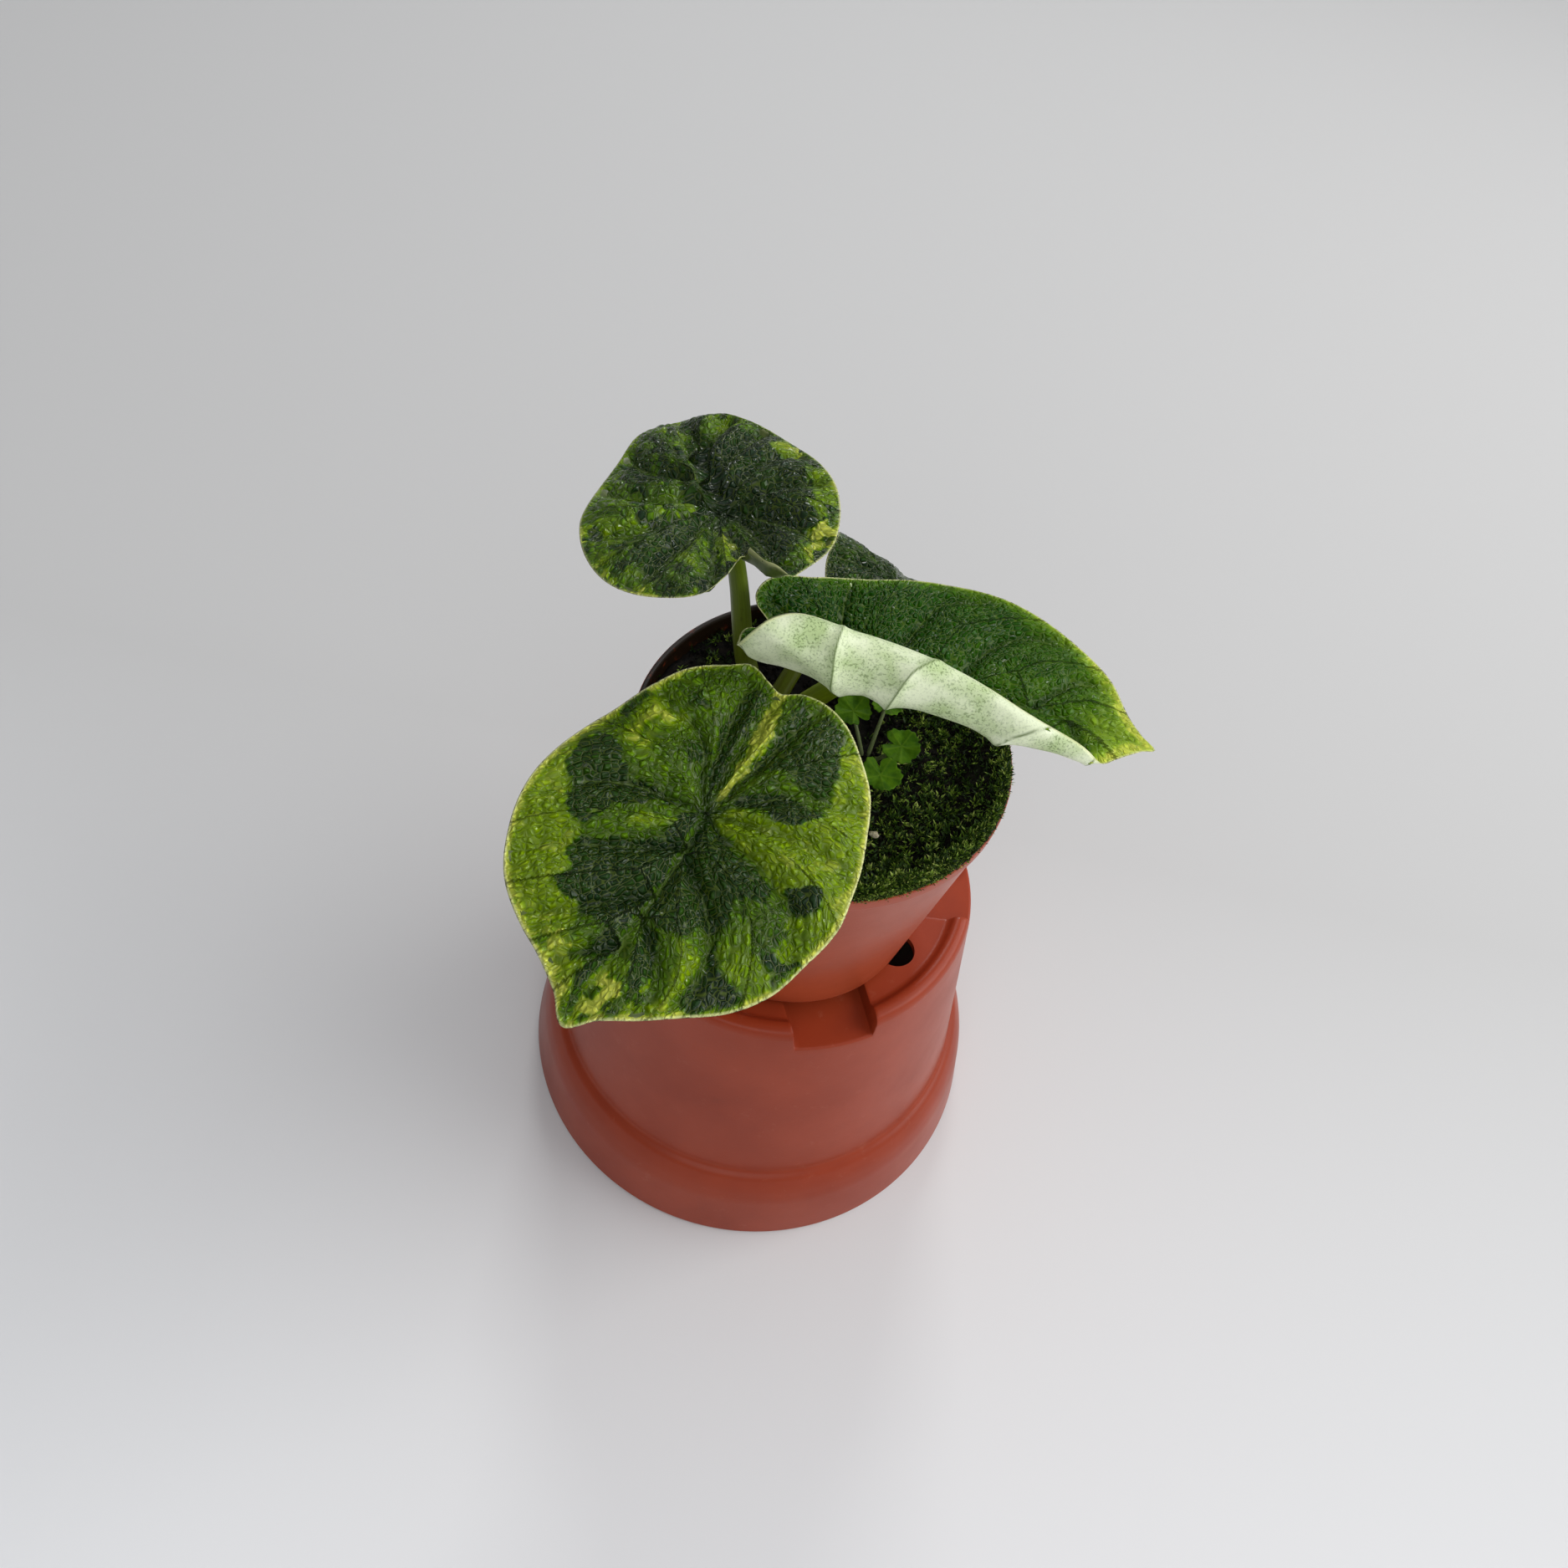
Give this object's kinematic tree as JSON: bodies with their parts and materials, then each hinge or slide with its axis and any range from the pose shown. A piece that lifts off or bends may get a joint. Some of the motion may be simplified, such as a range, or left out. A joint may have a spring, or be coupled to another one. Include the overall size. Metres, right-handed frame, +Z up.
{
  "type": "potted_plant",
  "caption": "Small potted alocasia with shield-shaped quilted leaves on olive stalks, growing in a tapered nursery pot that stands on a larger upturned nursery pot",
  "frame": {"origin": "centre of the whole object's footprint box, on the surface the upturned pot stands on", "axes": "+Z up; +X to the right and -Y towards the viewer of the front leaf, with the rolled leaf pointing along +X"},
  "size_m": [0.12, 0.1472, 0.1966],
  "materials": {
    "stand_plastic": "satin terracotta-coloured plastic, slightly worn",
    "pot_plastic": "satin terracotta-coloured plastic",
    "soil": "dark, damp, crumbly potting mix",
    "crown": "matt, papery sheath",
    "petiole": "smooth, satin, olive green",
    "leaf": "quilted, glossy, variegated green",
    "leaf_new": "quilted and glossy above, pale and smooth below",
    "moss": "soft, matt moss",
    "perlite": "matt cream crumbs",
    "seedling": "soft, matt green"
  },
  "bodies": {
    "root": {"stand_pot": "stand_plastic", "grow_pot": "pot_plastic", "potting_mix": "soil", "crown": "crown", "petiole_front": "petiole", "petiole_back": "petiole", "petiole_right": "petiole", "petiole_rear": "petiole", "leaf_front": "leaf", "leaf_back": "leaf", "leaf_right": "leaf_new", "leaf_rear": "leaf", "moss_front": "moss", "moss_front_right": "moss", "moss_right": "moss", "moss_back_right": "moss", "moss_back_left": "moss", "perlite_1": "perlite", "perlite_2": "perlite", "perlite_3": "perlite", "perlite_4": "perlite", "perlite_5": "perlite", "perlite_6": "perlite", "seedling_leaf_a": "seedling", "seedling_leaf_b": "seedling", "seedling_leaf_c": "seedling", "seedling_leaf_d": "seedling", "seedling_stalk_a": "seedling", "seedling_stalk_b": "seedling", "seedling_stalk_c": "seedling", "seedling_stalk_d": "seedling"}
  },
  "joints": []
}
